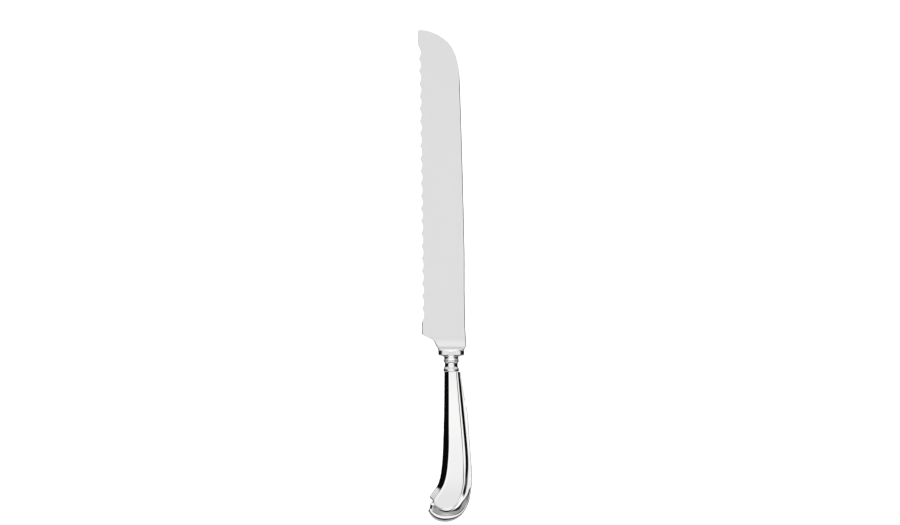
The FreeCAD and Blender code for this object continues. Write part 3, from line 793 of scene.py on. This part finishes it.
# Radius against depth under the bolster: top, double ring, waist, lip, spigot and bore.
COLLAR_PROFILE = (
    (5.05, -0.8), (5.26, -0.74), (5.32, -0.55), (5.16, -0.15), (4.99, 0.25), (4.91, 0.65),
    (4.92, 1.0), (5.00, 1.4), (5.13, 1.72), (5.25, 1.93), (5.42, 2.06), (5.55, 2.22),
    (5.58, 2.42), (5.53, 2.62), (5.38, 2.78), (5.22, 2.88), (5.22, 2.98), (5.38, 3.06),
    (5.53, 3.22), (5.58, 3.42), (5.53, 3.64), (5.36, 3.80), (5.10, 3.92), (4.86, 4.16),
    (4.68, 4.55), (4.56, 5.1), (4.50, 5.8), (4.50, 6.5), (4.56, 7.0), (4.70, 7.45),
    (4.92, 7.9), (5.16, 8.35), (5.36, 8.75), (5.40, 8.88), (5.35, 8.98), (5.42, 9.12),
    (5.49, 9.35), (5.50, 9.7), (5.48, 10.05), (5.40, 10.35), (5.24, 10.6), (5.02, 10.76),
    (4.80, 10.8), (3.95, 10.8), (3.9, 10.85), (3.9, 14.6), (3.7, 14.8), (3.1, 14.8),
    (3.1, 7.0), (3.1, -0.8),
)


def collar_mesh():
    turns = 96
    rows = []
    for n in range(turns + 1):
        angle = 2 * math.pi * n / turns
        rows.append([(radius * math.sin(angle), -depth, radius * math.cos(angle))
                     for radius, depth in COLLAR_PROFILE])
    mesh = grid_mesh("turned_collar", rows, closed=True)
    finish_mesh(mesh, 40)
    outward(mesh)
    return mesh


# ---------------------------------------------------------------- materials

WEAR_SCALE = 120.0
NOISE_DETAIL = 4.0
GRAIN_DEPTH = 0.00001

def noise(tree, coordinates, scale, stretch):
    """Fine noise at real scale; stretch squeezes the pattern along each axis."""
    mapping = add_node(tree, "ShaderNodeMapping")
    mapping.inputs["Scale"].default_value = stretch
    tree.links.new(coordinates, mapping.inputs["Vector"])
    texture = add_node(tree, "ShaderNodeTexNoise")
    texture.inputs["Scale"].default_value = scale
    texture.inputs["Detail"].default_value = NOISE_DETAIL
    tree.links.new(mapping.outputs["Vector"], texture.inputs["Vector"])
    return texture.outputs["Fac"]


def surface(name, color, metallic, roughness, grain, bump, spread):
    """A procedural surface: roughness varies over handling wear, and fine grain is a bump."""
    material = bpy.data.materials.new(name)
    material.use_nodes = True
    tree = material.node_tree
    shader = tree.nodes["Principled BSDF"]
    shader.inputs["Metallic"].default_value = metallic
    shader.inputs["Base Color"].default_value = (*color, 1)
    coordinates = add_node(tree, "ShaderNodeTexCoord").outputs["Object"]
    wear = noise(tree, coordinates, WEAR_SCALE, (1.0, 1.0, 1.0))
    fine = noise(tree, coordinates, grain[0], grain[1])
    blend = math_node(tree, "ADD", math_node(tree, "MULTIPLY", wear, 0.6),
                      math_node(tree, "MULTIPLY", fine, 0.4))
    rough = ramp_between(tree, blend, 0.35, 0.65, roughness - spread, roughness + spread)
    tree.links.new(rough, shader.inputs["Roughness"])
    relief = add_node(tree, "ShaderNodeBump")
    relief.inputs["Strength"].default_value = bump
    relief.inputs["Distance"].default_value = GRAIN_DEPTH
    tree.links.new(fine, relief.inputs["Height"])
    tree.links.new(relief.outputs["Normal"], shader.inputs["Normal"])
    return material


STEEL = surface("satin_steel", (0.755, 0.755, 0.755), 1.0, 0.20,
                (4000.0, (1.0, 0.03, 1.0)), 0.15, 0.03)
SILVER = surface("polished_silver", (0.93, 0.93, 0.925), 1.0, 0.045,
                 (6000.0, (1.0, 0.2, 1.0)), 0.03, 0.012)
COLLAR_SILVER = surface("collar_silver", (0.87, 0.87, 0.865), 1.0, 0.20,
                        (5000.0, (1.0, 1.0, 1.0)), 0.05, 0.03)
SOLDER = surface("solder", (0.62, 0.60, 0.56), 1.0, 0.42, (2500.0, (1.0, 1.0, 1.0)), 0.4, 0.08)
CEMENT = surface("cement", (0.42, 0.37, 0.32), 0.0, 0.88, (1500.0, (1.0, 1.0, 1.0)), 0.8, 0.06)

NODE_MATERIALS = {"blade": STEEL, "collar": COLLAR_SILVER, "handle_shell_left": SILVER,
                  "handle_shell_right": SILVER, "seam_solder": SOLDER, "handle_cement": CEMENT}
for node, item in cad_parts.items():
    for material_slot in item.material_slots:
        material_slot.material = NODE_MATERIALS[node]

add_piece("blade_with_bolster", blade_mesh(), STEEL, "blade")
add_piece("turned_collar", collar_mesh(), COLLAR_SILVER, "collar")
add_piece("handle_left", shell_mesh("handle_left", 1), SILVER, "handle_shell_left")
add_piece("handle_right", shell_mesh("handle_right", -1), SILVER, "handle_shell_right")
